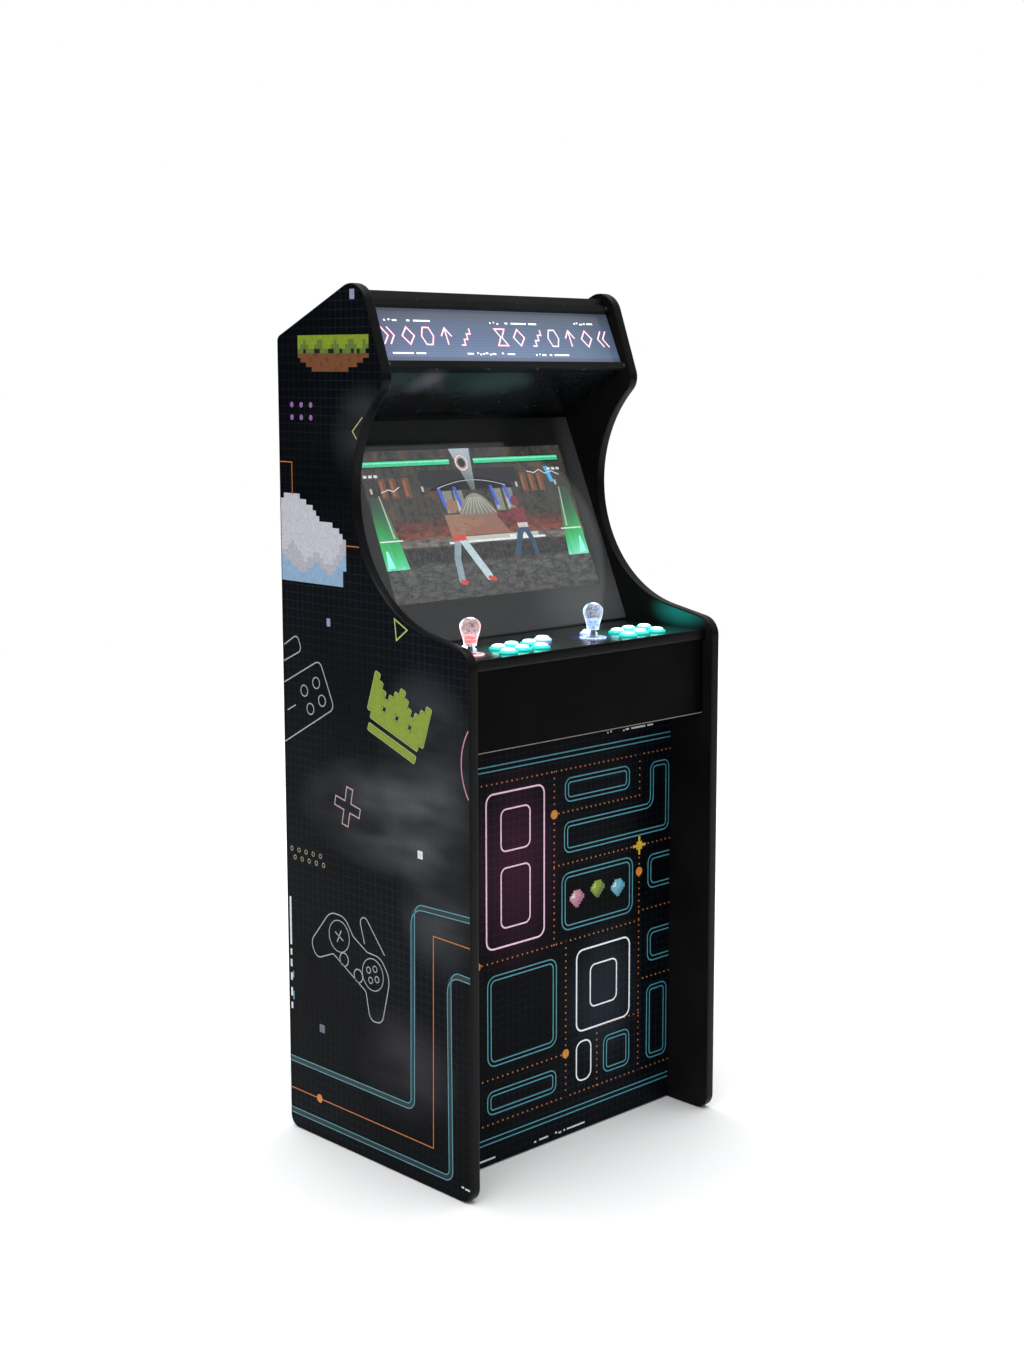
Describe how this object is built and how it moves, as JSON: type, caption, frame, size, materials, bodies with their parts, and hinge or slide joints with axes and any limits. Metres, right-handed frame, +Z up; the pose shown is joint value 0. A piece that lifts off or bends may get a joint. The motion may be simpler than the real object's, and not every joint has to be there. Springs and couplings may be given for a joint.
{
  "type": "arcade cabinet",
  "caption": "Upright two-player arcade cabinet with a backlit marquee, sloping screen, lit sticks and buttons on a deck, and a rear service door.",
  "frame": {"origin": "middle of the footprint, on the floor", "axes": "+Z up, +X to the player's right, -Y out of the front towards the player"},
  "size_m": [0.621, 0.504, 1.5438],
  "materials": {
    "printed_vinyl": "satin printed vinyl on board",
    "edge_molding": "smooth black T-molding",
    "black_laminate": "black laminated board",
    "deck_laminate": "black gloss laminate with a grid print",
    "black_metal": "satin black",
    "marquee_print": "backlit translucent print",
    "white_light": "lit LED diffuser",
    "gloss_black": "polished black acrylic",
    "tinted_sheet": "clear tinted sheet",
    "screen_picture": "lit display",
    "dark_plastic": "moulded black",
    "steel": "zinc plated",
    "clear_plastic": "clear moulded",
    "pink_lit_plastic": "clear, lit pink from inside",
    "blue_lit_plastic": "clear, lit blue from inside",
    "raw_board": "unfinished board",
    "white_lit_plastic": "translucent, lit white",
    "teal_lit_plastic": "translucent, lit teal"
  },
  "bodies": {
    "cabinet": {"left_side_panel": "printed_vinyl", "right_side_panel": "printed_vinyl", "left_edge_molding": "edge_molding", "right_edge_molding": "edge_molding", "roof_panel": "black_laminate", "marquee_window": "marquee_print", "marquee_top_rail": "black_metal", "marquee_bottom_rail": "black_metal", "marquee_light_bar": "white_light", "under_marquee_panel": "gloss_black", "screen_window": "tinted_sheet", "screen_bezel": "black_laminate", "display_panel": "screen_picture", "display_housing": "dark_plastic", "display_bracket": "steel", "control_panel": "deck_laminate", "control_panel_molding": "edge_molding", "control_box_front": "black_laminate", "control_box_floor": "black_laminate", "kick_panel": "printed_vinyl", "left_speaker": "dark_plastic", "right_speaker": "dark_plastic", "p1_button_housings": "dark_plastic", "p2_button_housings": "dark_plastic", "centre_button_housing": "dark_plastic", "p1_stick_base": "dark_plastic", "p2_stick_base": "dark_plastic", "p1_dust_washer": "clear_plastic", "p2_dust_washer": "clear_plastic", "back_panel": "black_laminate", "door_hinge_frame_leaf": "steel", "power_inlet": "dark_plastic", "floor_board": "raw_board", "computer": "dark_plastic", "power_supply": "steel"},
    "p1_button_1": {"p1_button_1": "teal_lit_plastic"},
    "p1_button_2": {"p1_button_2": "teal_lit_plastic"},
    "p1_button_3": {"p1_button_3": "teal_lit_plastic"},
    "p1_button_4": {"p1_button_4": "teal_lit_plastic"},
    "p1_button_5": {"p1_button_5": "teal_lit_plastic"},
    "p1_button_6": {"p1_button_6": "teal_lit_plastic"},
    "p1_start_button": {"p1_start_button": "white_lit_plastic"},
    "p2_button_1": {"p2_button_1": "teal_lit_plastic"},
    "p2_button_2": {"p2_button_2": "teal_lit_plastic"},
    "p2_button_3": {"p2_button_3": "teal_lit_plastic"},
    "p2_button_4": {"p2_button_4": "teal_lit_plastic"},
    "p2_button_5": {"p2_button_5": "teal_lit_plastic"},
    "p2_button_6": {"p2_button_6": "teal_lit_plastic"},
    "p2_start_button": {"p2_start_button": "white_lit_plastic"},
    "centre_button": {"centre_button": "white_lit_plastic"},
    "p1_stick_gimbal": {"p1_stick_gimbal": "steel"},
    "p1_stick": {"p1_stick_shaft": "steel", "p1_stick_bulb": "pink_lit_plastic"},
    "p2_stick_gimbal": {"p2_stick_gimbal": "steel"},
    "p2_stick": {"p2_stick_shaft": "steel", "p2_stick_bulb": "blue_lit_plastic"},
    "rear_door": {"rear_door": "black_laminate", "door_hinge_door_leaf": "steel"},
    "door_lock": {"door_lock": "steel"},
    "power_switch": {"power_switch": "dark_plastic"}
  },
  "joints": [
    {"name": "p1_button_1_press", "type": "slide", "parent": "cabinet", "child": "p1_button_1", "axis": [0, 0, -1], "range_m": [0, 0.003], "stiffness_N_per_m": 320, "springref_m": -0.0015},
    {"name": "p1_button_2_press", "type": "slide", "parent": "cabinet", "child": "p1_button_2", "axis": [0, 0, -1], "range_m": [0, 0.003], "stiffness_N_per_m": 320, "springref_m": -0.0015},
    {"name": "p1_button_3_press", "type": "slide", "parent": "cabinet", "child": "p1_button_3", "axis": [0, 0, -1], "range_m": [0, 0.003], "stiffness_N_per_m": 320, "springref_m": -0.0015},
    {"name": "p1_button_4_press", "type": "slide", "parent": "cabinet", "child": "p1_button_4", "axis": [0, 0, -1], "range_m": [0, 0.003], "stiffness_N_per_m": 320, "springref_m": -0.0015},
    {"name": "p1_button_5_press", "type": "slide", "parent": "cabinet", "child": "p1_button_5", "axis": [0, 0, -1], "range_m": [0, 0.003], "stiffness_N_per_m": 320, "springref_m": -0.0015},
    {"name": "p1_button_6_press", "type": "slide", "parent": "cabinet", "child": "p1_button_6", "axis": [0, 0, -1], "range_m": [0, 0.003], "stiffness_N_per_m": 320, "springref_m": -0.0015},
    {"name": "p1_start_button_press", "type": "slide", "parent": "cabinet", "child": "p1_start_button", "axis": [0, 0, -1], "range_m": [0, 0.003], "stiffness_N_per_m": 320, "springref_m": -0.0015},
    {"name": "p2_button_1_press", "type": "slide", "parent": "cabinet", "child": "p2_button_1", "axis": [0, 0, -1], "range_m": [0, 0.003], "stiffness_N_per_m": 320, "springref_m": -0.0015},
    {"name": "p2_button_2_press", "type": "slide", "parent": "cabinet", "child": "p2_button_2", "axis": [0, 0, -1], "range_m": [0, 0.003], "stiffness_N_per_m": 320, "springref_m": -0.0015},
    {"name": "p2_button_3_press", "type": "slide", "parent": "cabinet", "child": "p2_button_3", "axis": [0, 0, -1], "range_m": [0, 0.003], "stiffness_N_per_m": 320, "springref_m": -0.0015},
    {"name": "p2_button_4_press", "type": "slide", "parent": "cabinet", "child": "p2_button_4", "axis": [0, 0, -1], "range_m": [0, 0.003], "stiffness_N_per_m": 320, "springref_m": -0.0015},
    {"name": "p2_button_5_press", "type": "slide", "parent": "cabinet", "child": "p2_button_5", "axis": [0, 0, -1], "range_m": [0, 0.003], "stiffness_N_per_m": 320, "springref_m": -0.0015},
    {"name": "p2_button_6_press", "type": "slide", "parent": "cabinet", "child": "p2_button_6", "axis": [0, 0, -1], "range_m": [0, 0.003], "stiffness_N_per_m": 320, "springref_m": -0.0015},
    {"name": "p2_start_button_press", "type": "slide", "parent": "cabinet", "child": "p2_start_button", "axis": [0, 0, -1], "range_m": [0, 0.003], "stiffness_N_per_m": 320, "springref_m": -0.0015},
    {"name": "centre_button_press", "type": "slide", "parent": "cabinet", "child": "centre_button", "axis": [0, 0, -1], "range_m": [0, 0.003], "stiffness_N_per_m": 320, "springref_m": -0.0015},
    {"name": "p1_stick_fore_aft", "type": "hinge", "parent": "cabinet", "child": "p1_stick_gimbal", "pos_m": [-0.234, -0.169, 0.893], "axis": [1, 0, 0], "range_deg": [-9, 9], "stiffness_Nm_per_rad": 0.6},
    {"name": "p1_stick_left_right", "type": "hinge", "parent": "p1_stick_gimbal", "child": "p1_stick", "pos_m": [-0.234, -0.169, 0.893], "axis": [0, 1, 0], "range_deg": [-9, 9], "stiffness_Nm_per_rad": 0.6},
    {"name": "p2_stick_fore_aft", "type": "hinge", "parent": "cabinet", "child": "p2_stick_gimbal", "pos_m": [0.061, -0.169, 0.893], "axis": [1, 0, 0], "range_deg": [-9, 9], "stiffness_Nm_per_rad": 0.6},
    {"name": "p2_stick_left_right", "type": "hinge", "parent": "p2_stick_gimbal", "child": "p2_stick", "pos_m": [0.061, -0.169, 0.893], "axis": [0, 1, 0], "range_deg": [-9, 9], "stiffness_Nm_per_rad": 0.6},
    {"name": "rear_door_hinge", "type": "hinge", "parent": "cabinet", "child": "rear_door", "pos_m": [-0.225, 0.2419, 0.44], "axis": [0, 0, 1], "range_deg": [0, 110]},
    {"name": "door_lock_turn", "type": "hinge", "parent": "rear_door", "child": "door_lock", "pos_m": [0.203, 0.238, 0.44], "axis": [0, -1, 0], "range_deg": [0, 90]},
    {"name": "power_switch_rock", "type": "hinge", "parent": "cabinet", "child": "power_switch", "pos_m": [0.176, 0.234, 0.082], "axis": [1, 0, 0], "range_deg": [0, 14]}
  ]
}
